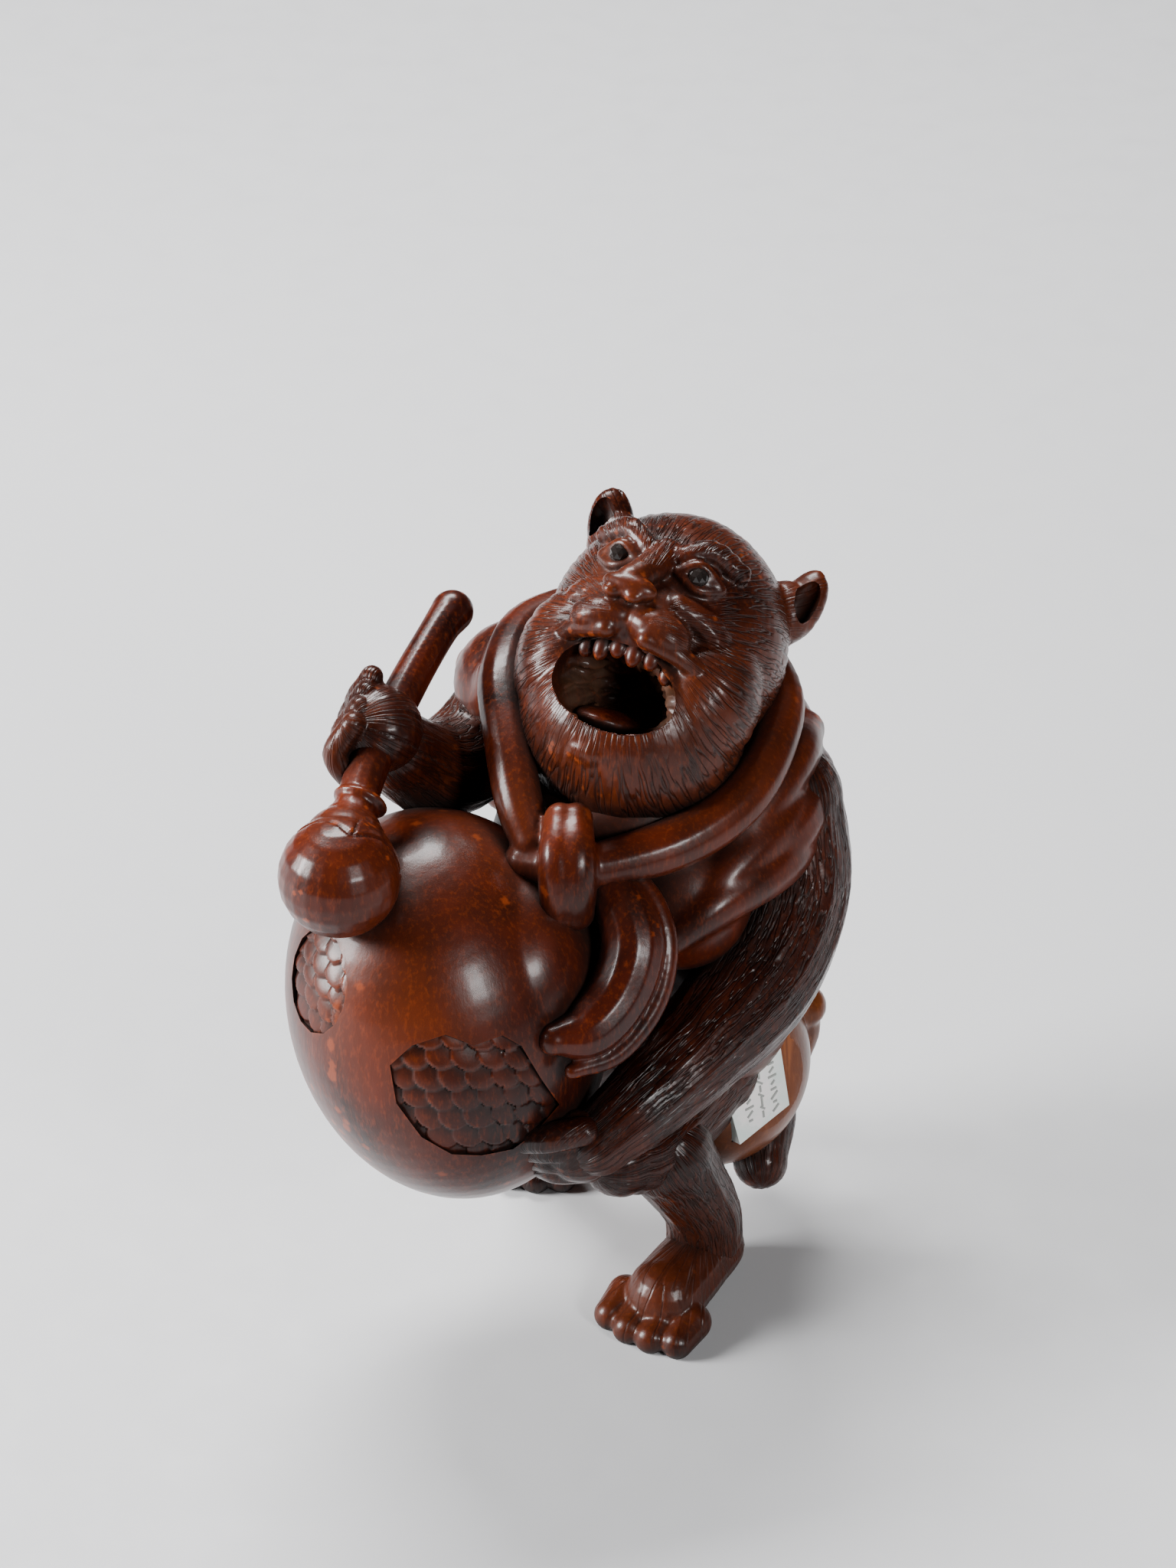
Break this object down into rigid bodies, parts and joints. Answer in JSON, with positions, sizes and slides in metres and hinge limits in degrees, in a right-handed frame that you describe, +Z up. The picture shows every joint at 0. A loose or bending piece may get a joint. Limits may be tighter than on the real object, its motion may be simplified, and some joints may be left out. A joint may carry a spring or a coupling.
{
  "type": "netsuke",
  "caption": "Carved netsuke of a striding tanuki that beats a round slit gong with a mallet, in stained wood with an inlaid tablet.",
  "frame": {"origin": "centre of the underside of the whole box, on the surface that the feet stand on", "axes": "+Z up; the figure faces -Y and its left side is towards +X"},
  "size_m": [0.0316, 0.0298, 0.0463],
  "materials": {
    "stained_boxwood": "dark red-brown stain, polished by handling, darker in the hollows",
    "mother_of_pearl": "polished pale shell with a faint sheen",
    "dark_horn": "polished dark horn"
  },
  "bodies": {
    "root": {"carved_figure": "stained_boxwood", "signature_tablet": "mother_of_pearl", "pupil_left": "dark_horn", "pupil_right": "dark_horn"}
  },
  "joints": []
}
